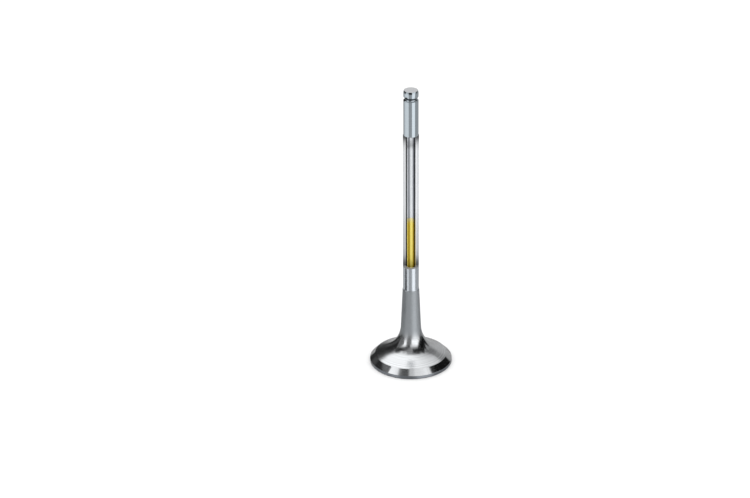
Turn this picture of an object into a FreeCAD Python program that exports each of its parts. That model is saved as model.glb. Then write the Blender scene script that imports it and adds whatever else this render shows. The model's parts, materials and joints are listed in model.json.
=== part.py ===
import FreeCAD, Part
import math
import os

# Exhaust valve with a hollow stem, cut open along the stem. A yellow lining marks its sodium charge.
# Sizes are in millimetres. The origin is the centre of the head face, +Z runs up the stem,
# and the window in the stem faces -Y.

overall_length = 112.4

# Head
head_diameter = 31.4
margin_height = 1.4
face_edge_chamfer = 0.25
seat_height = 2.0
seat_angle = 45.0
underhead_slope = 24.0
underhead_radius = 11.8
dish_diameter = 22.0
dish_depth = 0.9

# Neck: each taper angle is for one side
neck_top_height = 30.7
neck_step = 0.17
neck_taper = 2.5
runout_radius = 2.0

# Hollow stem
stem_diameter = 6.0
stem_wall = 1.275
bore_floor_height = 18.0
drill_point_angle = 118.0
window_floor_height = 40.5

# Sodium charge: a thin lining on the bore's wall
charge_length = 41.7
charge_wall = 0.12
charge_clearance = 0.02

# Solid stem end
stem_end_length = 17.9
stem_end_relief = 0.17
groove_distance = 3.3
groove_width = 1.3
groove_depth = 0.5
tip_chamfer_width = 0.2
tip_chamfer_height = 0.85

# A cutter reaches past the faces it opens by this much, and a blend leaves this share of its lines straight
cutter_overrun = 1.0
straight_share = 0.05

# Radii and heights that follow from the sizes above
head_radius = head_diameter / 2
stem_radius = stem_diameter / 2
bore_radius = stem_radius - stem_wall
neck_top_radius = stem_radius + neck_step
stem_end_radius = stem_radius - stem_end_relief
joint_height = overall_length - stem_end_length
seat_top_radius = head_radius - seat_height / math.tan(math.radians(seat_angle))
seat_top_height = margin_height + seat_height


def point(radius, height):
    """A point of an outline in the XZ half plane."""
    return FreeCAD.Vector(radius, 0, height)


def lines(*points):
    """Straight edges from each point to the next."""
    return [Part.LineSegment(a, b).toShape() for a, b in zip(points, points[1:])]


def arc(start, middle, end):
    """A circular edge through three points."""
    return Part.Arc(start, middle, end).toShape()


def turned(edges):
    """The solid that a closed outline makes when it is turned about the Z axis."""
    face = Part.Face(Part.Wire(edges))
    return face.revolve(FreeCAD.Vector(0, 0, 0), FreeCAD.Vector(0, 0, 1), 360)


def blend(before, corner, after, radius):
    """Start, middle and end of the arc that rounds a corner, no larger than its two lines allow."""
    back = before - corner
    ahead = after - corner
    half_angle = back.getAngle(ahead) / 2
    longest_setback = (1 - straight_share) * min(back.Length, ahead.Length)
    radius = min(radius, longest_setback * math.tan(half_angle))
    setback = radius / math.tan(half_angle)
    back.normalize()
    ahead.normalize()
    inward = back + ahead
    inward.normalize()
    middle = corner + inward * (radius / math.sin(half_angle) - radius)
    return corner + back * setback, middle, corner + ahead * setback


def neck_corner():
    """Where the neck's tapered line would meet the underhead's sloping line."""
    taper = math.tan(math.radians(neck_taper))
    slope = math.tan(math.radians(underhead_slope))
    rise = neck_top_height - seat_top_height - seat_top_radius * slope
    radius = (neck_top_radius + rise * taper) / (1 - slope * taper)
    return point(radius, seat_top_height + (seat_top_radius - radius) * slope)


def runout_arc():
    """Start, middle and end of the concave arc from the neck's step up to the ground stem."""
    height = math.sqrt(runout_radius ** 2 - (runout_radius - neck_step) ** 2)
    centre = point(stem_radius + runout_radius, neck_top_height + height)
    half_turn = math.asin(height / runout_radius) / 2
    middle = centre - point(runout_radius * math.cos(half_turn), runout_radius * math.sin(half_turn))
    return point(neck_top_radius, neck_top_height), middle, point(stem_radius, neck_top_height + height)


def body_outline():
    """Half section of the head, neck and stem, from the dish in the head face to the welded joint."""
    seat_top = point(seat_top_radius, seat_top_height)
    neck_top, runout_middle, runout_top = runout_arc()
    sweep_end, sweep_middle, sweep_start = blend(neck_top, neck_corner(), seat_top, underhead_radius)
    head = lines(
        point(0, dish_depth),
        point(dish_diameter / 2, 0),
        point(head_radius - face_edge_chamfer, 0),
        point(head_radius, face_edge_chamfer),
        point(head_radius, margin_height),
        seat_top,
        sweep_start,
    )
    stem = lines(
        runout_top,
        point(stem_radius, joint_height),
        point(0, joint_height),
        point(0, dish_depth),
    )
    neck = [arc(sweep_start, sweep_middle, sweep_end)]
    neck += lines(sweep_end, neck_top)
    neck += [arc(neck_top, runout_middle, runout_top)]
    return head + neck + stem


def drilled(radius, floor_height, top_height):
    """A round rod with a drill point at its lower end, for the bore and for both sides of its lining."""
    point_height = radius / math.tan(math.radians(drill_point_angle / 2))
    return turned(lines(
        point(0, floor_height),
        point(radius, floor_height + point_height),
        point(radius, top_height),
        point(0, top_height),
        point(0, floor_height),
    ))


def window_cutter():
    """The block that clears the front half of the stem, from the window's floor up past the joint."""
    height = joint_height + cutter_overrun - window_floor_height
    corner = FreeCAD.Vector(-head_radius, -head_radius, window_floor_height)
    return Part.makeBox(head_diameter, head_radius, height, corner)


def valve_body():
    """Head, neck and hollow stem in one piece, with the bore and the window cut into it."""
    bore = drilled(bore_radius, bore_floor_height, joint_height + cutter_overrun)
    return turned(body_outline()).cut(bore).cut(window_cutter())


def stem_end():
    """Solid end of the stem, with the keeper groove and the chamfered tip."""
    groove_height = overall_length - groove_distance
    groove_top = point(stem_end_radius, groove_height + groove_width / 2)
    groove_floor = point(stem_end_radius - groove_depth, groove_height)
    groove_bottom = point(stem_end_radius, groove_height - groove_width / 2)
    below_groove = lines(point(0, joint_height), point(stem_end_radius, joint_height), groove_bottom)
    above_groove = lines(
        groove_top,
        point(stem_end_radius, overall_length - tip_chamfer_height),
        point(stem_end_radius - tip_chamfer_width, overall_length),
        point(0, overall_length),
        point(0, joint_height),
    )
    return turned(below_groove + [arc(groove_bottom, groove_floor, groove_top)] + above_groove)


def sodium_charge():
    """Lining of the bore's lower part, just clear of its wall and open along the window."""
    outer_radius = bore_radius - charge_clearance
    outer_floor = bore_floor_height + charge_clearance
    inner_floor = outer_floor + charge_wall / math.sin(math.radians(drill_point_angle / 2))
    top_height = bore_floor_height + charge_length
    filling = drilled(outer_radius, outer_floor, top_height)
    hollow = drilled(outer_radius - charge_wall, inner_floor, top_height + cutter_overrun)
    return filling.cut(hollow).cut(window_cutter())


os.makedirs("parts", exist_ok=True)
valve_body().exportStep("parts/valve_body.step")
stem_end().exportStep("parts/stem_end.step")
sodium_charge().exportStep("parts/sodium_charge.step")
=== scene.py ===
import json
import math

import bmesh
import bpy
from bpy.props import FloatProperty, FloatVectorProperty, IntProperty, PointerProperty
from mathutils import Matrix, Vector


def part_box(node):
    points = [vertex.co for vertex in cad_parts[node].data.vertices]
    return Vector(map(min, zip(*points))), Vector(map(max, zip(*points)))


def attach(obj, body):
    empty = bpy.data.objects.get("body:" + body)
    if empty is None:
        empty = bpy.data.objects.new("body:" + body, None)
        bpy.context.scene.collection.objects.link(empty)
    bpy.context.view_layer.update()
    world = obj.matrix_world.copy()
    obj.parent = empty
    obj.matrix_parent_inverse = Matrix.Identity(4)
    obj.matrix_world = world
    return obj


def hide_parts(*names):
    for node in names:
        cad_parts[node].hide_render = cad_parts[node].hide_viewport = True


bl_info = {
    "name": "Sectioned engine valve",
    "version": (1, 0, 0),
    "blender": (4, 5, 0),
    "location": "3D View > Sidebar > Engine Valve",
    "description": "Dresses a hollow-stem exhaust valve that is cut open to show its sodium charge",
    "category": "Object",
}

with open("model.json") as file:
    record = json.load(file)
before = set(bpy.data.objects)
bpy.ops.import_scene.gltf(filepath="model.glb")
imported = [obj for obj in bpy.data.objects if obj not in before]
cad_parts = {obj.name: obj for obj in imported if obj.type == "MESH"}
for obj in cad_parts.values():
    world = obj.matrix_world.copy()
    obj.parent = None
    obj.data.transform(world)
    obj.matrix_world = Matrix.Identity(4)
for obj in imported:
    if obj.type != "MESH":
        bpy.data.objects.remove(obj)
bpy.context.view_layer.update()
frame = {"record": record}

MM = 0.001
mounts = {mount["name"]: mount for mount in frame["record"]["mounts"]}
body_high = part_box("valve_body")[1]
end_low, end_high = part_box("stem_end")
charge_low, charge_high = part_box("sodium_charge")

# How far the yellow lining stays clear of the bore's wall and floor
LINING_CLEARANCE = 0.02 * MM
# Half the angle of the drill point at the bore's floor
DRILL_SLOPE = math.radians(59)
# A point this near to a plane or a cylinder counts as on it
NEAR = 0.01 * MM


def linear(hex_colour):
    """An sRGB hex colour as linear red, green and blue."""
    shares = [int(hex_colour[place:place + 2], 16) / 255 for place in (1, 3, 5)]
    return tuple(s / 12.92 if s <= 0.04045 else ((s + 0.055) / 1.055) ** 2.4 for s in shares)


def length(name, description, default):
    """A length property in metres."""
    return FloatProperty(
        name=name, description=description, default=default, min=0, unit="LENGTH", precision=5)


def angle(name, description, degrees):
    """An angle property, given in degrees."""
    return FloatProperty(
        name=name, description=description, default=math.radians(degrees), subtype="ANGLE")


def colour(name, description, hex_colour):
    """A colour property, given as an sRGB hex value."""
    return FloatVectorProperty(
        name=name, description=description, default=linear(hex_colour), size=3, min=0, max=1, subtype="COLOR")


class ValveSizes(bpy.types.PropertyGroup):
    """Sizes of the turned outlines and of the window in the stem."""

    segments: IntProperty(
        name="Segments", description="Faces round a turned piece", default=256, min=16, step=2)
    edge_break: length("Edge Break", "Width of the rounding on each crisp edge", 0.07 * MM)
    margin_height: length("Margin Height", "Height of the plain rim under the seat", 1.4 * MM)
    face_chamfer: length("Face Chamfer", "Chamfer between the head face and the rim", 0.25 * MM)
    seat_height: length("Seat Height", "Height of the seat cone", 2.0 * MM)
    seat_angle: angle("Seat Angle", "Slope of the seat cone", 45)
    underhead_slope: angle("Underhead Slope", "Slope of the head's upper side", 24)
    underhead_radius: length("Underhead Radius", "Radius of the sweep from the head into the neck", 11.8 * MM)
    dish_radius: length("Dish Radius", "Radius of the shallow dish in the head face", 11.0 * MM)
    dish_depth: length("Dish Depth", "Depth of the dish at its middle", 0.9 * MM)
    neck_top_height: length(
        "Neck Top Height", "Height where the neck ends and the plated stem starts", 30.7 * MM)
    neck_step: length("Neck Step", "How far the neck's top stands proud of the stem", 0.17 * MM)
    neck_taper: angle("Neck Taper", "Taper of the neck on one side", 2.5)
    runout_radius: length("Runout Radius", "Radius at the foot of the ground stem", 2.0 * MM)
    bore_radius: length("Bore Radius", "Radius of the bore in the stem", charge_high.x + LINING_CLEARANCE)
    window_floor: length("Window Floor", "Height of the window's lower end", 40.5 * MM)
    lining_wall: length("Lining Wall", "Thickness of the yellow lining", 0.12 * MM)
    groove_width: length("Groove Width", "Width of the keeper groove", 1.3 * MM)
    groove_depth: length("Groove Depth", "Depth of the keeper groove", 0.5 * MM)
    lip_relief: length("Lip Relief", "How far the lip over the groove is ground back", 0.1 * MM)
    lip_height: length("Lip Height", "Height of the ground lip over the groove", 0.4 * MM)
    tip_chamfer_width: length("Tip Chamfer Width", "Width of the steep chamfer at the tip", 0.2 * MM)
    tip_chamfer_height: length("Tip Chamfer Height", "Height of the steep chamfer at the tip", 0.85 * MM)


class ValveFinishes(bpy.types.PropertyGroup):
    """Colours of the bare metals, the plating and the lining."""

    head_steel: colour("Head Steel", "Turned heat-resistant steel of the head", "#c8cacc")
    neck_steel: colour("Neck Steel", "Blasted heat-resistant steel of the neck", "#b4b9bd")
    seat_steel: colour("Seat Steel", "Ground face of the seat", "#c0c2c4")
    chrome: colour("Chrome", "Hard chrome of the stem", "#bec4ca")
    section_steel: colour("Section Steel", "Freshly milled faces of the window", "#eceef1")
    # The rim's darker grey is painted shade, for the shadowed floor that it mirrors
    margin_steel: colour("Margin Steel", "Rim under the seat, left as turned and stained by heat", "#7b7f84")
    # The bore's three tones are painted: dark for the shade along its edges, dull and bright for a painted
    # reflection down its middle
    bore_dark: colour("Bore Dark", "Scale left along both edges of the bore", "#17191d")
    bore_dull: colour("Bore Dull", "Reamed wall of the bore", "#84878f")
    bore_bright: colour("Bore Bright", "Burnished middle of the bore", "#f8fcff")
    # The lining's first three tones are painted the same way: painted shade at the edges, painted reflection
    # down the middle
    lining_dark: colour("Lining Dark", "Lacquer over the bore's edges", "#1e1500")
    lining_deep: colour("Lining Deep", "Lacquer over the reamed wall", "#a88a0a")
    lining_bright: colour("Lining Bright", "Lacquer over the burnished middle", "#fff084")
    lining_pale: colour("Lining Pale", "Thin upper edge of the lacquer", "#fff6c4")
    end_steel: colour("End Steel", "Hardened steel of the stem end", "#aab3b9")
    tip_steel: colour("Tip Steel", "Tip of the stem end, ground after hardening", "#a5a6a8")
    # The groove's dark tint is painted shade under the lip
    groove_steel: colour("Groove Steel", "Keeper groove under its lip, stained by old oil", "#5a6066")


def node(tree, kind, inputs=None, stops=None, **settings):
    """Adds a node, sets its settings, and fills or links its inputs.

    The stops of a colour ramp are (place, colour), the first at nought and the last at one.
    """
    made = tree.nodes.new(kind)
    for name, value in settings.items():
        setattr(made, name, value)
    for key, value in (inputs or {}).items():
        if isinstance(value, bpy.types.NodeSocket):
            tree.links.new(value, made.inputs[key])
        else:
            made.inputs[key].default_value = value
    if stops:
        elements = made.color_ramp.elements
        for place, _ in stops[1:-1]:
            elements.new(place)
        for element, (_, tone) in zip(elements, stops):
            element.color = (*tone, 1)
    return made


def turned_piece_tree():
    """Geometry Nodes that turn an outline of points in the XZ plane about the Z axis."""
    tree = bpy.data.node_groups.new("Turned Piece", "GeometryNodeTree")
    tree.interface.new_socket("Outline", in_out="INPUT", socket_type="NodeSocketGeometry")
    tree.interface.new_socket("Segments", in_out="INPUT", socket_type="NodeSocketInt")
    tree.interface.new_socket("Merge Distance", in_out="INPUT", socket_type="NodeSocketFloat")
    tree.interface.new_socket("Finish", in_out="INPUT", socket_type="NodeSocketMaterial")
    tree.interface.new_socket("Piece", in_out="OUTPUT", socket_type="NodeSocketGeometry")
    given = node(tree, "NodeGroupInput").outputs
    size = node(tree, "GeometryNodeAttributeDomainSize", {"Geometry": given["Outline"]})
    count = size.outputs["Point Count"]
    columns = node(tree, "ShaderNodeMath", {0: given["Segments"], 1: 1}, operation="ADD")
    grid = node(tree, "GeometryNodeMeshGrid", {"Vertices X": columns.outputs[0], "Vertices Y": count})
    index = node(tree, "GeometryNodeInputIndex").outputs[0]
    position = node(tree, "GeometryNodeInputPosition").outputs[0]
    row = node(tree, "ShaderNodeMath", {0: index, 1: count}, operation="MODULO")
    share = node(tree, "ShaderNodeMath", {0: index, 1: count}, operation="DIVIDE")
    column = node(tree, "ShaderNodeMath", {0: share.outputs[0]}, operation="FLOOR")
    turn = node(tree, "ShaderNodeMath", {0: column.outputs[0], 1: given["Segments"]}, operation="DIVIDE")
    turned = node(tree, "ShaderNodeMath", {0: turn.outputs[0], 1: math.tau}, operation="MULTIPLY")
    point = node(
        tree, "GeometryNodeSampleIndex",
        {"Geometry": given["Outline"], "Value": position, "Index": row.outputs[0]},
        data_type="FLOAT_VECTOR", domain="POINT")
    place = node(
        tree, "ShaderNodeVectorRotate", {"Vector": point.outputs[0], "Angle": turned.outputs[0]},
        rotation_type="Z_AXIS")
    moved = node(
        tree, "GeometryNodeSetPosition", {"Geometry": grid.outputs["Mesh"], "Position": place.outputs[0]})
    closed = node(
        tree, "GeometryNodeMergeByDistance",
        {"Geometry": moved.outputs[0], "Distance": given["Merge Distance"]})
    real = node(tree, "GeometryNodeRealizeInstances", {"Geometry": closed.outputs[0]})
    finished = node(
        tree, "GeometryNodeSetMaterial", {"Geometry": real.outputs[0], "Material": given["Finish"]})
    node(tree, "NodeGroupOutput", {"Piece": finished.outputs[0]})
    return tree


def turned_piece(name, outline, segments, finish):
    """A new object whose mesh is the outline, a list of (radius, height), turned about the Z axis."""
    mesh = bpy.data.meshes.new(name)
    mesh.from_pydata([(radius, 0, height) for radius, height in outline], [], [])
    piece = bpy.data.objects.new(name, mesh)
    bpy.context.scene.collection.objects.link(piece)
    tree = bpy.data.node_groups.get("Turned Piece") or turned_piece_tree()
    turning = piece.modifiers.new("Turning", "NODES")
    turning.node_group = tree
    values = {"Segments": segments, "Merge Distance": 0.0005 * MM, "Finish": finish}
    for item in tree.interface.items_tree:
        if item.name in values:
            turning[item.identifier] = values[item.name]
    shown = piece.evaluated_get(bpy.context.evaluated_depsgraph_get())
    piece.data = bpy.data.meshes.new_from_object(shown)
    piece.modifiers.clear()
    piece.data.materials.clear()
    piece.data.materials.append(finish)
    for face in piece.data.polygons:
        face.material_index = 0
    return piece


def smooth(piece, edge_break):
    """Rounds the crisp edges a little and shades the rest smooth, with flat faces kept flat."""
    for polygon in piece.data.polygons:
        polygon.use_smooth = True
    bevel = piece.modifiers.new("Edge Break", "BEVEL")
    bevel.width = edge_break
    bevel.segments = 2
    bevel.limit_method = "ANGLE"
    bevel.angle_limit = math.radians(15)
    bevel.harden_normals = True
    return piece


def arc_points(centre, radius, start, end, steps):
    """Points on an arc between two angles, both ends included."""
    turns = [start + (end - start) * step / steps for step in range(steps + 1)]
    return [centre + Vector((math.cos(turn), math.sin(turn))) * radius for turn in turns]


def neck_sweep(sizes, neck_top, seat_top):
    """Points of the large arc that blends the underhead's slope into the neck's taper, from the head up."""
    taper, slope, radius = sizes.neck_taper, sizes.underhead_slope, sizes.underhead_radius
    across_neck = Vector((math.cos(taper), math.sin(taper)))
    across_slope = Vector((math.sin(slope), math.cos(slope)))
    neck_reach = across_neck.dot(neck_top) + radius
    slope_reach = across_slope.dot(seat_top) + radius
    spread = across_neck.cross(across_slope)
    centre = Vector((
        (neck_reach * across_slope.y - slope_reach * across_neck.y) / spread,
        (across_neck.x * slope_reach - across_slope.x * neck_reach) / spread,
    ))
    return arc_points(centre, radius, math.pi * 1.5 - slope, math.pi + taper, steps=28)


def body_outline(sizes, head_radius, stem_radius, joint_height):
    """Head, neck and stem from the dish's middle up to the joint, then down the bore to its drill point."""
    seat_top_height = sizes.margin_height + sizes.seat_height
    seat_top = Vector((head_radius - sizes.seat_height / math.tan(sizes.seat_angle), seat_top_height))
    neck_top = Vector((stem_radius + sizes.neck_step, sizes.neck_top_height))
    runout_turn = math.acos(1 - sizes.neck_step / sizes.runout_radius)
    runout_height = sizes.neck_top_height + sizes.runout_radius * math.sin(runout_turn)
    runout_centre = Vector((stem_radius + sizes.runout_radius, runout_height))
    bore = sizes.bore_radius
    drill_point = bore / math.tan(DRILL_SLOPE)
    bore_floor = charge_low.z - LINING_CLEARANCE
    dish_rings = (0.05, 0.35, 0.7, 1)
    return [
        (0, sizes.dish_depth),
        *[(sizes.dish_radius * share, sizes.dish_depth * (1 - share)) for share in dish_rings],
        (head_radius - sizes.face_chamfer, 0),
        (head_radius, sizes.face_chamfer),
        (head_radius, sizes.margin_height),
        tuple(seat_top),
        *[tuple(point) for point in neck_sweep(sizes, neck_top, seat_top)],
        *[tuple(point) for point in arc_points(
            runout_centre, sizes.runout_radius, math.pi + runout_turn, math.pi, steps=6)],
        (stem_radius, sizes.window_floor),
        (stem_radius, joint_height),
        (bore, joint_height),
        (bore, sizes.window_floor),
        (bore, bore_floor + drill_point),
        (0, bore_floor),
    ]


def open_window(mesh, floor_height):
    """Takes the front half of the stem away above the floor and closes the cut with flat faces."""
    shape = bmesh.new()
    shape.from_mesh(mesh)
    tiny = 0.001 * MM
    front = [v for v in shape.verts if v.co.z > floor_height + tiny and v.co.y < -tiny]
    bmesh.ops.delete(shape, geom=front, context="VERTS")
    cut = [v for v in shape.verts if v.is_boundary]
    floor = [v for v in cut if abs(v.co.z - floor_height) < tiny]
    middle = (max(v.co.xy.length for v in floor) + min(v.co.xy.length for v in floor)) / 2

    def round_order(vertex):
        return math.atan2(vertex.co.x, -vertex.co.y + tiny)

    outer = sorted([v for v in floor if v.co.xy.length > middle], key=round_order)
    inner = sorted([v for v in floor if v.co.xy.length < middle], key=round_order)
    for place in range(len(outer) - 1):
        shape.faces.new((outer[place], outer[place + 1], inner[place + 1], inner[place]))
    top = [v for v in cut if v.co.z > floor_height + tiny]
    for end in (0, -1):
        side = math.copysign(1, outer[end].co.x)
        corners = sorted([v for v in top if v.co.x * side > 0], key=lambda v: v.co.xy.length)
        shape.faces.new((outer[end], inner[end], corners[0], corners[-1]))
    bmesh.ops.recalc_face_normals(shape, faces=shape.faces)
    shape.to_mesh(mesh)
    shape.free()


def turned_coordinates(tree):
    """Radius, height and the direction along the outline, all from the piece's own coordinates."""
    place = node(tree, "ShaderNodeTexCoord").outputs["Object"]
    flat = node(tree, "ShaderNodeVectorMath", {0: place, 1: (1, 1, 0)}, operation="MULTIPLY")
    radius = node(tree, "ShaderNodeVectorMath", {0: flat.outputs[0]}, operation="LENGTH").outputs["Value"]
    height = node(tree, "ShaderNodeSeparateXYZ", {0: place}).outputs["Z"]
    around = node(tree, "ShaderNodeVectorMath", {0: (0, 0, 1), 1: place}, operation="CROSS_PRODUCT")
    normal = node(tree, "ShaderNodeNewGeometry").outputs["Normal"]
    along = node(tree, "ShaderNodeVectorMath", {0: normal, 1: around.outputs[0]}, operation="CROSS_PRODUCT")
    unit = node(tree, "ShaderNodeVectorMath", {0: along.outputs[0]}, operation="NORMALIZE")
    return place, radius, height, unit.outputs[0]


def new_material(name):
    """A fresh material and its node tree, emptied."""
    material = bpy.data.materials.new(name)
    material.use_nodes = True
    material.node_tree.nodes.clear()
    return material, material.node_tree


def tool_marks(tree, radius, height, pitch):
    """Irregular rings that follow the outline, as a cutting tool or a wheel leaves them at this spacing."""
    path = node(tree, "ShaderNodeMath", {0: radius, 1: height}, operation="SUBTRACT")
    steps = node(tree, "ShaderNodeMath", {0: path.outputs[0], 1: pitch}, operation="DIVIDE")
    rings = node(
        tree, "ShaderNodeTexNoise", {"W": steps.outputs[0], "Scale": 1.0, "Detail": 3.0, "Roughness": 0.6},
        noise_dimensions="1D")
    return rings.outputs[0]


# A noise stays near its middle, so this part of its range is spread over the whole of what it drives
NOISE_MIDDLE = {"From Min": 0.3, "From Max": 0.7}


def turned_metal(name, tint, *, pitch, depth, roughness, spread, anisotropy, lean=0.0):
    """A metal that was cut or ground while it turned, with marks of a given pitch and depth round it.

    The roughness varies with the marks by the spread, and the lean tips the shading normal outward.
    """
    material, tree = new_material(name)
    place, radius, height, along = turned_coordinates(tree)
    rings = tool_marks(tree, radius, height, pitch)
    flat = node(tree, "ShaderNodeVectorMath", {0: place, 1: (1, 1, 0)}, operation="MULTIPLY")
    outward = node(tree, "ShaderNodeVectorMath", {0: flat.outputs[0]}, operation="NORMALIZE")
    normal = node(tree, "ShaderNodeNewGeometry").outputs["Normal"]
    leaned = node(
        tree, "ShaderNodeVectorMath", {0: outward.outputs[0], 1: (lean, lean, lean), 2: normal},
        operation="MULTIPLY_ADD")
    facing = node(tree, "ShaderNodeVectorMath", {0: leaned.outputs[0]}, operation="NORMALIZE").outputs[0]
    bump = node(
        tree, "ShaderNodeBump", {"Height": rings, "Distance": depth, "Strength": 1.0, "Normal": facing})
    rough = node(
        tree, "ShaderNodeMapRange",
        {"Value": rings, **NOISE_MIDDLE, "To Min": roughness - spread, "To Max": roughness + spread})
    shade = node(tree, "ShaderNodeMapRange", {"Value": rings, **NOISE_MIDDLE, "To Min": 0.94, "To Max": 1.0})
    toned = node(tree, "ShaderNodeVectorMath", {0: tuple(tint), 3: shade.outputs[0]}, operation="SCALE")
    surface = node(
        tree, "ShaderNodeBsdfPrincipled",
        {"Base Color": toned.outputs[0], "Metallic": 1.0, "Roughness": rough.outputs[0],
         "Anisotropic": anisotropy, "Tangent": along, "Normal": bump.outputs[0]})
    node(tree, "ShaderNodeOutputMaterial", {"Surface": surface.outputs[0]})
    return material


def ground_seat_steel(finishes):
    """Heat-resistant steel of the seat, ground to its cone."""
    # Near a mirror, so the studio shows in sharp bright and dark blocks. The lean puts the blocks where a
    # seat that is a little steeper or crowned mirrors them. Its grinding lines are drawn coarser than the
    # real ones of some 0.05 mm, as are those of the metals below.
    return turned_metal(
        "ground_seat_steel", finishes.seat_steel, pitch=0.3 * MM, depth=0.0004 * MM,
        roughness=0.13, spread=0.02, anisotropy=0.3, lean=0.42)


def hard_chrome(finishes):
    """Hard chrome on the stem, plated and then ground."""
    # Cool and bright, with soft-edged streaks along the stem.
    return turned_metal(
        "hard_chrome", finishes.chrome, pitch=0.5 * MM, depth=0.001 * MM,
        roughness=0.24, spread=0.02, anisotropy=0.5)


def painted_shade_margin_steel(finishes):
    """Heat-resistant steel of the rim under the seat, left as turned."""
    # A darker, duller grey, painted shade for the shadowed floor that the rim mirrors, so it underlines the
    # bright seat.
    return turned_metal(
        "painted_shade_margin_steel", finishes.margin_steel, pitch=0.3 * MM, depth=0.002 * MM,
        roughness=0.3, spread=0.03, anisotropy=0.4)


def ground_end_steel(finishes):
    """Hardened martensitic steel of the stem end, centreless ground."""
    # Bluish and clear, with streaks whose edges are sharper than those on the chrome.
    return turned_metal(
        "ground_end_steel", finishes.end_steel, pitch=0.4 * MM, depth=0.001 * MM,
        roughness=0.1, spread=0.02, anisotropy=0.5)


def painted_shade_groove_steel(finishes):
    """The same steel in the keeper groove, turned, with a darker tint of painted shade under its lip."""
    # A dark ring, painted shade under the bright lip.
    return turned_metal(
        "painted_shade_groove_steel", finishes.groove_steel, pitch=0.4 * MM, depth=0.001 * MM,
        roughness=0.3, spread=0.03, anisotropy=0.3)


def ground_tip_steel(finishes):
    """The same steel on the tip's face, ground flat after hardening."""
    # An even, neutral grey disc.
    return turned_metal(
        "ground_tip_steel", finishes.tip_steel, pitch=0.3 * MM, depth=0.002 * MM,
        roughness=0.12, spread=0.03, anisotropy=0.3)


def turned_head_steel(finishes):
    """Heat-resistant steel, turned on the head and blasted on the neck."""
    # Bright rings on the head run into an even grey on the neck. The rings stand for a feed of 0.1 to
    # 0.2 mm and the grit for pits of about 0.1 mm: both are drawn coarser so that they show.
    material, tree = new_material("turned_head_steel")
    ring_pitch, grit_size = 0.6 * MM, 0.35 * MM
    turned_up_to, blasted_from = 9.5 * MM, 14.5 * MM
    fine_inside, coarse_outside = 7.5 * MM, 11 * MM
    place, radius, height, along = turned_coordinates(tree)
    rings = tool_marks(tree, radius, height, ring_pitch)
    grit = node(
        tree, "ShaderNodeTexNoise",
        {"Vector": place, "Scale": 1 / grit_size, "Detail": 2.0, "Roughness": 0.6})
    matte = node(
        tree, "ShaderNodeMapRange", {"Value": height, "From Min": turned_up_to, "From Max": blasted_from},
        interpolation_type="SMOOTHSTEP").outputs[0]
    marks = node(tree, "ShaderNodeMix", {0: matte, 2: rings, 3: grit.outputs[0]}).outputs[0]
    rough = node(tree, "ShaderNodeMix", {0: matte, 2: 0.15, 3: 0.58})
    drawn = node(tree, "ShaderNodeMix", {0: matte, 2: 0.2, 3: 0.0})
    varied = node(
        tree, "ShaderNodeMapRange", {"Value": marks, **NOISE_MIDDLE, "To Min": -0.05, "To Max": 0.05})
    roughness = node(tree, "ShaderNodeMath", {0: rough.outputs[0], 1: varied.outputs[0]}, operation="ADD")
    tint = node(
        tree, "ShaderNodeMix", {0: matte, 6: (*finishes.head_steel, 1), 7: (*finishes.neck_steel, 1)},
        data_type="RGBA")
    shade = node(
        tree, "ShaderNodeMapRange",
        {"Value": marks, "From Min": 0.35, "From Max": 0.65, "To Min": 0.84, "To Max": 1.0})
    toned = node(tree, "ShaderNodeVectorMath", {0: tint.outputs[2], 3: shade.outputs[0]}, operation="SCALE")
    coarse = node(
        tree, "ShaderNodeMapRange",
        {"Value": radius, "From Min": fine_inside, "From Max": coarse_outside, "To Min": 0.3, "To Max": 1.0})
    bump = node(
        tree, "ShaderNodeBump", {"Height": marks, "Distance": 0.05 * MM, "Strength": coarse.outputs[0]})
    surface = node(
        tree, "ShaderNodeBsdfPrincipled",
        {"Base Color": toned.outputs[0], "Metallic": 1.0, "Roughness": roughness.outputs[0],
         "Anisotropic": drawn.outputs[0], "Tangent": along, "Normal": bump.outputs[0]})
    node(tree, "ShaderNodeOutputMaterial", {"Surface": surface.outputs[0]})
    return material


# Painted reflection and shade across the window's faces, with a dark line of painted shade beside the bore's
# left edge: how bright they are, by share of the way from the stem's left side to its right one
SECTION_STREAKS = (
    (0.0, 0.76), (0.176, 0.76), (0.193, 0.02), (0.2125, 0.03), (0.25, 0.9), (0.86, 0.92), (0.91, 0.7),
    (1.0, 0.85),
)
# Painted reflection and shade across the bore: how bright it is, by share of the way from its left edge to
# its right one
BORE_STREAKS = (
    (0.0, 0.0), (0.09, 0.0), (0.12, 1.0), (0.165, 0.9), (0.22, 0.32), (0.34, 0.38), (0.454, 0.95),
    (0.53, 1.0), (0.60, 1.0), (0.68, 0.72), (0.765, 0.36), (0.83, 0.0), (0.94, 0.0), (0.965, 0.5), (1.0, 0.5),
)
# Painted shade near the window's ends: how bright the window's faces and the bore are, by share of the way
# from the window's floor to the joint
SECTION_SHADES = (
    (0.0, 0.35), (0.006, 0.15), (0.03, 0.2), (0.085, 0.6), (0.14, 0.72), (0.24, 0.78), (0.45, 1.0),
    (0.88, 1.0), (0.92, 0.85), (0.946, 0.6), (0.976, 0.18), (1.0, 0.1),
)
BORE_SHADES = (
    (0.0, 1.0), (0.875, 1.0), (0.89, 0.79), (0.898, 0.66), (0.9055, 0.60), (0.92, 0.68), (0.936, 0.76),
    (0.951, 1.0), (1.0, 1.0),
)


def greys(levels):
    """A colour ramp's stops from (place, level)."""
    return [(place, (level, level, level)) for place, level in levels]


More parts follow.
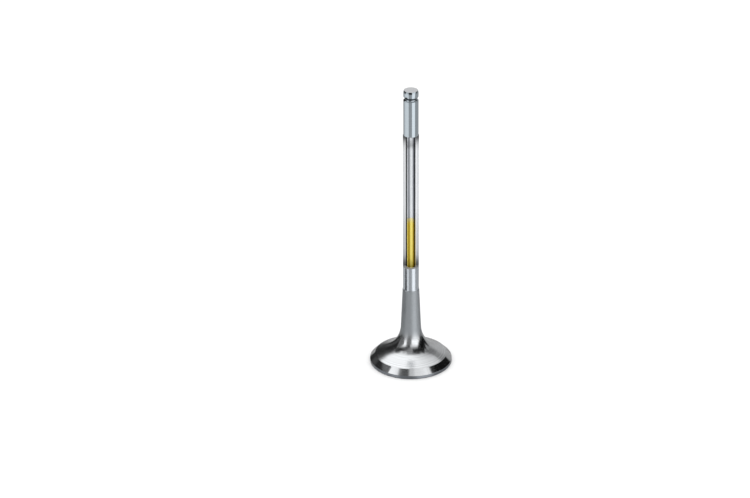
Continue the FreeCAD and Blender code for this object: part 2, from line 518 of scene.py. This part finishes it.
def streaks_and_shades(tree, parts, half_width, window, streaks, shades):
    """Grey streaks within half a width of the stem's axis, and grey shades between the window's ends."""
    low, high = window
    across = node(
        tree, "ShaderNodeMapRange", {"Value": parts["X"], "From Min": -half_width, "From Max": half_width})
    upward = node(tree, "ShaderNodeMapRange", {"Value": parts["Z"], "From Min": low, "From Max": high})
    streaked = node(tree, "ShaderNodeValToRGB", {"Fac": across.outputs[0]}, stops=greys(streaks))
    shaded = node(tree, "ShaderNodeValToRGB", {"Fac": upward.outputs[0]}, stops=greys(shades))
    return streaked.outputs["Color"], shaded.outputs["Color"]


def fine_lines(tree, value, pitch):
    """Irregular lines across one coordinate at this spacing."""
    steps = node(tree, "ShaderNodeMath", {0: value, 1: pitch}, operation="DIVIDE")
    lines = node(
        tree, "ShaderNodeTexNoise", {"W": steps.outputs[0], "Scale": 1.0, "Detail": 2.0},
        noise_dimensions="1D")
    return lines.outputs[0]


def milled_section_steel(finishes, window, stem_radius):
    """Heat-resistant steel of the window's faces, left by an end mill."""
    # Light and satin, with painted reflection across it, a dark line of painted shade on the left wall and
    # painted shade at both ends of the window. The cross lines stand for feed marks of 0.1 mm and are drawn
    # coarser so that they show.
    material, tree = new_material("milled_section_steel")
    place = node(tree, "ShaderNodeTexCoord").outputs["Object"]
    parts = node(tree, "ShaderNodeSeparateXYZ", {0: place}).outputs
    lines = fine_lines(tree, parts["Z"], 0.4 * MM)
    bump = node(tree, "ShaderNodeBump", {"Height": lines, "Distance": 0.004 * MM, "Strength": 1.0})
    rough = node(tree, "ShaderNodeMapRange", {"Value": lines, **NOISE_MIDDLE, "To Min": 0.5, "To Max": 0.6})
    streaks, dimmed = streaks_and_shades(tree, parts, stem_radius, window, SECTION_STREAKS, SECTION_SHADES)
    normal = node(tree, "ShaderNodeNewGeometry").outputs["Normal"]
    level = node(tree, "ShaderNodeSeparateXYZ", {0: normal}).outputs["Z"]
    # The painted streaks stay off the window's floor, which faces up
    upright = node(tree, "ShaderNodeMix", {0: level, 6: streaks, 7: (1, 1, 1, 1)}, data_type="RGBA")
    shaded = node(tree, "ShaderNodeVectorMath", {0: upright.outputs[2], 1: dimmed}, operation="MULTIPLY")
    tint = node(
        tree, "ShaderNodeVectorMath", {0: tuple(finishes.section_steel), 1: shaded.outputs[0]},
        operation="MULTIPLY")
    surface = node(
        tree, "ShaderNodeBsdfPrincipled",
        {"Base Color": tint.outputs[0], "Metallic": 0.25, "Roughness": rough.outputs[0],
         "Normal": bump.outputs[0]})
    node(tree, "ShaderNodeOutputMaterial", {"Surface": surface.outputs[0]})
    return material


def streaked_bore(name, radius, window, *, dark, dull, bright, metallic, gloss, fade=None):
    """A bore's wall with streaks along it, in three tones, which may fade to a pale one over a stretch."""
    material, tree = new_material(name)
    place = node(tree, "ShaderNodeTexCoord").outputs["Object"]
    parts = node(tree, "ShaderNodeSeparateXYZ", {0: place}).outputs
    # The streaks across the bore are painted reflection and shade, and the shades up it are painted shade
    # under the joint
    streaks, dimmed = streaks_and_shades(tree, parts, radius, window, BORE_STREAKS, BORE_SHADES)
    drawn = fine_lines(tree, parts["X"], 0.15 * MM)
    varied = node(tree, "ShaderNodeMapRange", {"Value": drawn, **NOISE_MIDDLE, "To Min": 0.9, "To Max": 1.0})
    toned = node(tree, "ShaderNodeMath", {0: streaks, 1: varied.outputs[0]}, operation="MULTIPLY").outputs[0]
    tones = [(0, dark), (0.35, dull), (1, bright)]
    tint = node(tree, "ShaderNodeValToRGB", {"Fac": toned}, stops=tones).outputs["Color"]
    tint = node(
        tree, "ShaderNodeMix", {0: 1.0, 6: tint, 7: dimmed}, data_type="RGBA",
        blend_type="MULTIPLY").outputs[2]
    if fade:
        low, high, pale = fade
        thinned = node(
            tree, "ShaderNodeMapRange",
            {"Value": parts["Z"], "From Min": low, "From Max": high, "To Max": 0.85})
        faint = node(tree, "ShaderNodeVectorMath", {0: tuple(pale), 3: toned}, operation="SCALE")
        tint = node(
            tree, "ShaderNodeMix", {0: thinned.outputs[0], 6: tint, 7: faint.outputs[0]},
            data_type="RGBA").outputs[2]
    bump = node(tree, "ShaderNodeBump", {"Height": drawn, "Distance": 0.002 * MM, "Strength": 1.0})
    surface = node(
        tree, "ShaderNodeBsdfPrincipled",
        {"Base Color": tint, "Metallic": metallic, "Roughness": 0.42, "Specular IOR Level": gloss,
         "Normal": bump.outputs[0]})
    node(tree, "ShaderNodeOutputMaterial", {"Surface": surface.outputs[0]})
    return material


def reamed_bore_steel(finishes, sizes, window):
    """Heat-resistant steel of the bore, drilled and reamed."""
    # Painted shade at both edges and a painted reflection down the middle give it bright and dark streaks
    # along the stem. The drawn lines stand for reamer marks of 0.05 mm, here and in the lining, and are drawn
    # coarser.
    return streaked_bore(
        "reamed_bore_steel", sizes.bore_radius, window, dark=finishes.bore_dark, dull=finishes.bore_dull,
        bright=finishes.bore_bright, metallic=0.15, gloss=0.5)


def yellow_lacquer(finishes, sizes, window):
    """Yellow lacquer, brushed thinly on the bore's wall."""
    # The bore's painted streaks of reflection and shade show through it, and toward its upper edge it thins
    # out until it is nearly clear.
    fade_length = 2.2 * MM
    return streaked_bore(
        "yellow_lacquer", sizes.bore_radius, window, dark=finishes.lining_dark, dull=finishes.lining_deep,
        bright=finishes.lining_bright, metallic=0.0, gloss=0.12,
        fade=(charge_high.z - fade_length, charge_high.z, finishes.lining_pale))


class VALVE_OT_body(bpy.types.Operator):
    """Make the head, neck and hollow stem in one piece, with the window milled into the stem"""

    bl_idname = "valve.body"
    bl_label = "Valve Body"

    def execute(self, context):
        sizes = context.scene.valve_sizes
        finishes = context.scene.valve_finishes
        stem_radius = mounts["guide_stem"]["dims"]["r_mm"] * MM
        window = (sizes.window_floor, end_low.z)
        outline = body_outline(sizes, body_high.x, stem_radius, end_low.z)
        piece = turned_piece("sectioned_valve_body", outline, sizes.segments, turned_head_steel(finishes))
        open_window(piece.data, sizes.window_floor)
        for metal in (
                ground_seat_steel(finishes), hard_chrome(finishes),
                milled_section_steel(finishes, window, stem_radius),
                reamed_bore_steel(finishes, sizes, window), painted_shade_margin_steel(finishes)):
            piece.data.materials.append(metal)
        seat, chrome, section, bore, margin = range(1, 6)
        seat_top_radius = body_high.x - sizes.seat_height / math.tan(sizes.seat_angle)
        stem_foot = sizes.neck_top_height + 0.4 * MM
        for face in piece.data.polygons:
            radius = face.center.xy.length
            height = face.center.z
            in_section = face.normal.z > 0.99 or abs(face.center.y) < NEAR
            in_seat = sizes.margin_height < height < sizes.margin_height + sizes.seat_height
            if height > sizes.window_floor - NEAR and in_section:
                face.material_index = section
            elif radius < sizes.bore_radius + NEAR and height > charge_low.z - NEAR:
                face.material_index = bore
            elif height > stem_foot:
                face.material_index = chrome
            elif in_seat and radius > seat_top_radius:
                face.material_index = seat
            elif 0 < height < sizes.margin_height and radius > body_high.x - sizes.face_chamfer:
                face.material_index = margin
        smooth(piece, sizes.edge_break)
        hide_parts("valve_body")
        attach(piece, "root")
        return {"FINISHED"}


class VALVE_OT_stem_end(bpy.types.Operator):
    """Make the solid stem end with its keeper groove and chamfered tip"""

    bl_idname = "valve.stem_end"
    bl_label = "Stem End"

    def execute(self, context):
        sizes = context.scene.valve_sizes
        finishes = context.scene.valve_finishes
        radius = end_high.x
        groove_height = mounts["keeper_groove"]["pos_m"][2]
        groove_radius = (sizes.groove_width ** 2 / 4 + sizes.groove_depth ** 2) / (2 * sizes.groove_depth)
        groove_centre = Vector((radius + groove_radius - sizes.groove_depth, groove_height))
        groove_turn = math.asin(sizes.groove_width / 2 / groove_radius)
        lip_turn = math.acos(1 - (sizes.groove_depth - sizes.lip_relief) / groove_radius)
        outline = [
            (0, end_low.z),
            (radius, end_low.z),
            *[tuple(point) for point in arc_points(
                groove_centre, groove_radius, math.pi + groove_turn, math.pi - lip_turn, steps=16)],
            (radius, groove_height + sizes.groove_width / 2 + sizes.lip_height),
            (radius, end_high.z - sizes.tip_chamfer_height),
            (radius - sizes.tip_chamfer_width, end_high.z),
            (0, end_high.z),
        ]
        piece = turned_piece("welded_stem_end", outline, sizes.segments, ground_end_steel(finishes))
        for metal in (painted_shade_groove_steel(finishes), ground_tip_steel(finishes)):
            piece.data.materials.append(metal)
        groove, tip = 1, 2
        for face in piece.data.polygons:
            in_groove = abs(face.center.z - groove_height) < sizes.groove_width / 2
            deep = face.center.xy.length < radius - sizes.lip_relief
            if in_groove and deep and face.normal.z < 0.1:
                face.material_index = groove
            elif face.center.z > end_high.z - NEAR:
                face.material_index = tip
        smooth(piece, sizes.edge_break)
        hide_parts("stem_end")
        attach(piece, "root")
        return {"FINISHED"}


class VALVE_OT_charge(bpy.types.Operator):
    """Make the yellow lining that marks the sodium charge in the bore"""

    bl_idname = "valve.charge"
    bl_label = "Sodium Charge"

    def execute(self, context):
        sizes = context.scene.valve_sizes
        finishes = context.scene.valve_finishes
        outer = charge_high.x
        inner = outer - sizes.lining_wall
        inner_floor = charge_low.z + sizes.lining_wall / math.sin(DRILL_SLOPE)
        outline = [
            (0, charge_low.z),
            (outer, charge_low.z + outer / math.tan(DRILL_SLOPE)),
            (outer, sizes.window_floor),
            (outer, charge_high.z),
            (inner, charge_high.z),
            (inner, sizes.window_floor),
            (inner, inner_floor + inner / math.tan(DRILL_SLOPE)),
            (0, inner_floor),
        ]
        lacquer = yellow_lacquer(finishes, sizes, (sizes.window_floor, end_low.z))
        piece = turned_piece("yellow_bore_lining", outline, sizes.segments, lacquer)
        open_window(piece.data, sizes.window_floor)
        smooth(piece, sizes.lining_wall / 4)
        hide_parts("sodium_charge")
        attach(piece, "root")
        return {"FINISHED"}


# The studio that bare metal mirrors: an even base with patches painted on it. Azimuth is counted in degrees
# from the camera's side, to the right, and elevation up from the horizon. Each patch covers what the ones
# before it laid there.
STUDIO_BASE = 0.50
STUDIO = [
    # azimuth from, to, elevation from, to, level, softness of the edges
    (-135, -98, -90, -14, 0.85, 3),
    (62, 132, -90, -12, 0.60, 3),
    (-30, 16, -90, -8, 0.62, 3),
    (-98, -33, -90, -6, 1.35, 3),
    (-112, -58, -90, -31, 0.05, 3),
    (16, 64, -90, -2, 1.70, 3),
    (-168, -84, -14, 36, 0.03, 3),
    (-165, -88, -2, 9, 0.10, 3),
    (-155, -98, 27, 33, 0.08, 3),
    (-178, -166, 0, 14, 0.10, 2),
    (146, 178, 0, 46, 0.62, 5),
    (122, 150, 20, 46, 0.28, 5),
    (104, 126, 30, 46, 0.24, 4),
    (78, 180, 46, 62, 0.62, 3),
    (166, 180, 14, 45, 1.30, 2),
    (-180, -172, 14, 45, 1.30, 2),
    (48, 100, 26, 52, 0.01, 2),
    (62, 112, 10, 32, 0.01, 3),
    (84, 134, -10, 16, 0.01, 4),
    (-68, 76, 40, 66, 0.03, 3),
    (-110, -60, 35, 48, 0.01, 3),
    (-62, 16, 50, 66, 0.40, 4),
    (-24, 14, 45, 52, 0.36, 4),
    (-88, -64, 51, 68, 1.20, 3),
    (-64, -36, 57, 68, 1.00, 3),
    (-34, 8, -8, 42, 0.28, 4),
    (-30, 20, -8, 10, 0.03, 3),
    (-28, 8, 33, 43, 0.12, 3),
    (-88, -62, 20, 33, 0.55, 6),
    (-72, -38, 10, 34, 1.75, 4),
    (-72, -38, -6, 14, 0.95, 4),
    (-6, 36, 31, 43, 0.95, 4),
    (11, 52, 28, 39, 1.25, 3),
    (6, 60, 8, 31, 1.90, 4),
    (18, 70, 0, 20, 1.80, 4),
    (26, 84, -4, 8, 1.45, 5),
    (-180, 180, -90, -42, 0.06, 2),
]
# The round softbox overhead: how far back its middle is, half its width and half its depth, all as shares of
# its height, then its level on the left half and its fainter level at the right
OVERHEAD = (0.42, 0.93, 0.76, 1.70, 0.72)
# How far to the right it has faded to that, as a share of its height too
OVERHEAD_REACH = 0.85
# The even level that lights everything but mirrored rays
EVEN_LEVEL = 1.2


def studio_world():
    """A plain studio painted on the sky for mirrored rays, and one even level for all others."""
    world = bpy.data.worlds.new("soft_studio")
    world.use_nodes = True
    tree = world.node_tree
    tree.nodes.clear()
    direction = node(tree, "ShaderNodeTexCoord").outputs["Generated"]
    parts = node(tree, "ShaderNodeSeparateXYZ", {0: direction}).outputs
    forward = node(tree, "ShaderNodeMath", {0: parts["Y"], 1: -1}, operation="MULTIPLY")
    turn = node(tree, "ShaderNodeMath", {0: parts["X"], 1: forward.outputs[0]}, operation="ARCTAN2")
    azimuth = turn.outputs[0]
    elevation = node(tree, "ShaderNodeMath", {0: parts["Z"]}, operation="ARCSINE").outputs[0]

    def band(value, low, high, edge):
        """One inside the band, nought outside, with a soft edge on both sides."""
        rise = node(
            tree, "ShaderNodeMapRange", {"Value": value, "From Min": low - edge, "From Max": low + edge},
            interpolation_type="SMOOTHSTEP")
        fall = node(
            tree, "ShaderNodeMapRange", {"Value": value, "From Min": high + edge, "From Max": high - edge},
            interpolation_type="SMOOTHSTEP")
        both = node(tree, "ShaderNodeMath", {0: rise.outputs[0], 1: fall.outputs[0]}, operation="MULTIPLY")
        return both.outputs[0]

    def limit(degrees, end):
        """An edge in radians, moved well past the end of the scale where it stands at the end."""
        return math.copysign(2 * math.radians(end), degrees) if abs(degrees) == end else math.radians(degrees)

    level = STUDIO_BASE
    for west, east, low, high, strength, softness in STUDIO:
        edge = math.radians(softness)
        across = band(azimuth, limit(west, 180), limit(east, 180), edge)
        upward = band(elevation, limit(low, 90), limit(high, 90), edge)
        patch = node(tree, "ShaderNodeMath", {0: across, 1: upward}, operation="MULTIPLY")
        level = node(tree, "ShaderNodeMix", {0: patch.outputs[0], 2: level, 3: strength}).outputs[0]

    middle, half_width, half_depth, bright, faint = OVERHEAD
    least_height = 0.02
    above = node(tree, "ShaderNodeMath", {0: parts["Z"], 1: least_height}, operation="MAXIMUM").outputs[0]
    sideways = node(tree, "ShaderNodeMath", {0: parts["X"], 1: above}, operation="DIVIDE").outputs[0]
    depth = node(tree, "ShaderNodeMath", {0: parts["Y"], 1: above}, operation="DIVIDE").outputs[0]
    place = node(tree, "ShaderNodeCombineXYZ", {"X": sideways, "Y": depth}).outputs[0]
    moved = node(tree, "ShaderNodeVectorMath", {0: place, 1: (0, middle, 0)}, operation="SUBTRACT")
    shared = node(
        tree, "ShaderNodeVectorMath", {0: moved.outputs[0], 1: (half_width, half_depth, 1)},
        operation="DIVIDE")
    reach = node(tree, "ShaderNodeVectorMath", {0: shared.outputs[0]}, operation="LENGTH").outputs["Value"]
    disc = node(
        tree, "ShaderNodeMapRange", {"Value": reach, "From Min": 1.05, "From Max": 0.95},
        interpolation_type="SMOOTHSTEP")
    lowest, past_zenith, edge = 0.2, 2, 0.03
    over = band(elevation, lowest, past_zenith, edge)
    overhead = node(tree, "ShaderNodeMath", {0: disc.outputs[0], 1: over}, operation="MULTIPLY")
    lamp = node(
        tree, "ShaderNodeMapRange",
        {"Value": sideways, "From Min": 0.0, "From Max": OVERHEAD_REACH, "To Min": bright, "To Max": faint})
    level = node(tree, "ShaderNodeMix", {0: overhead.outputs[0], 2: level, 3: lamp.outputs[0]}).outputs[0]
    mirrored = node(tree, "ShaderNodeLightPath").outputs["Is Glossy Ray"]
    level = node(tree, "ShaderNodeMix", {0: mirrored, 2: EVEN_LEVEL, 3: level}).outputs[0]
    glow = node(tree, "ShaderNodeBackground", {"Color": (1, 1, 1, 1), "Strength": level})
    node(tree, "ShaderNodeOutputWorld", {"Surface": glow.outputs[0]})
    world.cycles.sampling_method = "NONE"
    return world


def matt_paint(name, base, glow=0.0):
    """Matt paint of an even grey, which may glow a little for the camera and in mirrors."""
    # It only takes the valve's shadow or darkens what the metal mirrors, so it has no gloss and no marks.
    material, tree = new_material(name)
    inputs = {"Base Color": (base, base, base, 1), "Roughness": 1.0, "Specular IOR Level": 0.0}
    if glow:
        rays = node(tree, "ShaderNodeLightPath").outputs
        bounced = node(
            tree, "ShaderNodeMath", {0: rays["Is Glossy Ray"], 1: rays["Is Transmission Ray"]})
        seen = node(tree, "ShaderNodeMath", {0: rays["Is Camera Ray"], 1: bounced.outputs[0]})
        strength = node(tree, "ShaderNodeMath", {0: seen.outputs[0], 1: glow}, operation="MULTIPLY")
        inputs.update({"Emission Color": (1, 1, 1, 1), "Emission Strength": strength.outputs[0]})
    surface = node(tree, "ShaderNodeBsdfPrincipled", inputs)
    node(tree, "ShaderNodeOutputMaterial", {"Surface": surface.outputs[0]})
    return material


def stage_piece(name, corners, faces, paint, hidden_from):
    """A painted mesh on the stage that the listed kinds of ray don't see."""
    mesh = bpy.data.meshes.new(name)
    mesh.from_pydata(corners, [], faces)
    mesh.materials.append(paint)
    piece = bpy.data.objects.new(name, mesh)
    bpy.context.scene.collection.objects.link(piece)
    for kind in hidden_from:
        setattr(piece, f"visible_{kind}", False)


def pale_floor():
    """White floor: the camera sees it plain white but for the valve's soft shadow."""
    reach = 3.0
    corners = [(-reach, -reach, 0), (reach, -reach, 0), (reach, reach, 0), (-reach, reach, 0)]
    paint = matt_paint("white_floor", 0.8, glow=0.15)
    stage_piece("floor", corners, [(0, 1, 2, 3)], paint, ("glossy", "diffuse"))


def dark_card(name, low, high, base):
    """Low card, bent round the valve on its left, that darkens what the head, neck and stem mirror there."""
    reach = 42 * MM
    west, east, step = -97, -55, 6
    turns = [math.radians(azimuth) for azimuth in range(west, east + 1, step)]
    corners = [
        (reach * math.sin(turn), -reach * math.cos(turn), height) for turn in turns for height in (low, high)]
    faces = [(2 * n, 2 * n + 2, 2 * n + 3, 2 * n + 1) for n in range(len(turns) - 1)]
    stage_piece(name, corners, faces, matt_paint(name, base), ("camera", "shadow", "diffuse"))


class VALVE_OT_stage(bpy.types.Operator):
    """Set up the floor, the dark cards, the studio light and the camera"""

    bl_idname = "valve.stage"
    bl_label = "Stage"

    def execute(self, context):
        scene = context.scene
        pale_floor()
        card_split = 12.5 * MM
        card_top = 30 * MM
        dark_card("black_card", 0, card_split, base=0.03)
        dark_card("grey_card", card_split, card_top, base=0.22)
        scene.world = studio_world()
        scene.view_settings.view_transform = "Standard"
        camera_data = bpy.data.cameras.new("camera")
        camera = bpy.data.objects.new("camera", camera_data)
        scene.collection.objects.link(camera)
        distance = 1.0
        elevation = math.radians(26.01)
        aim_height = 47.5 * MM
        image_width = 750
        valve_column = 410.92
        camera.location = (0, -distance * math.cos(elevation), aim_height + distance * math.sin(elevation))
        camera.rotation_euler = (math.pi / 2 - elevation, 0, 0)
        camera_data.sensor_width = 36
        camera_data.lens = 127.19
        camera_data.shift_x = (image_width / 2 - valve_column) / image_width
        camera_data.clip_start = 0.01
        camera_data.clip_end = 20
        scene.camera = camera
        return {"FINISHED"}


class VALVE_PT_panel(bpy.types.Panel):
    """Lists the valve's pieces, sizes and colours"""

    bl_label = "Engine Valve"
    bl_idname = "VALVE_PT_panel"
    bl_space_type = "VIEW_3D"
    bl_region_type = "UI"
    bl_category = "Engine Valve"

    def draw(self, context):
        layout = self.layout
        for step in STEPS:
            layout.operator(step)
        for group in (context.scene.valve_sizes, context.scene.valve_finishes):
            for name in group.bl_rna.properties.keys():
                if name not in ("name", "rna_type"):
                    layout.prop(group, name)


CLASSES = (
    ValveSizes, ValveFinishes, VALVE_OT_body, VALVE_OT_stem_end, VALVE_OT_charge, VALVE_OT_stage,
    VALVE_PT_panel,
)
STEPS = ("valve.body", "valve.stem_end", "valve.charge", "valve.stage")


def register():
    """Registers the classes and hangs the two property groups on the scene."""
    for kind in CLASSES:
        bpy.utils.register_class(kind)
    bpy.types.Scene.valve_sizes = PointerProperty(type=ValveSizes)
    bpy.types.Scene.valve_finishes = PointerProperty(type=ValveFinishes)


def unregister():
    """Takes back what register did."""
    del bpy.types.Scene.valve_finishes
    del bpy.types.Scene.valve_sizes
    for kind in reversed(CLASSES):
        bpy.utils.unregister_class(kind)


def main():
    """Makes the valve and its stage."""
    register()
    bpy.ops.valve.body()
    bpy.ops.valve.stem_end()
    bpy.ops.valve.charge()
    bpy.ops.valve.stage()


if __name__ == "__main__":
    main()
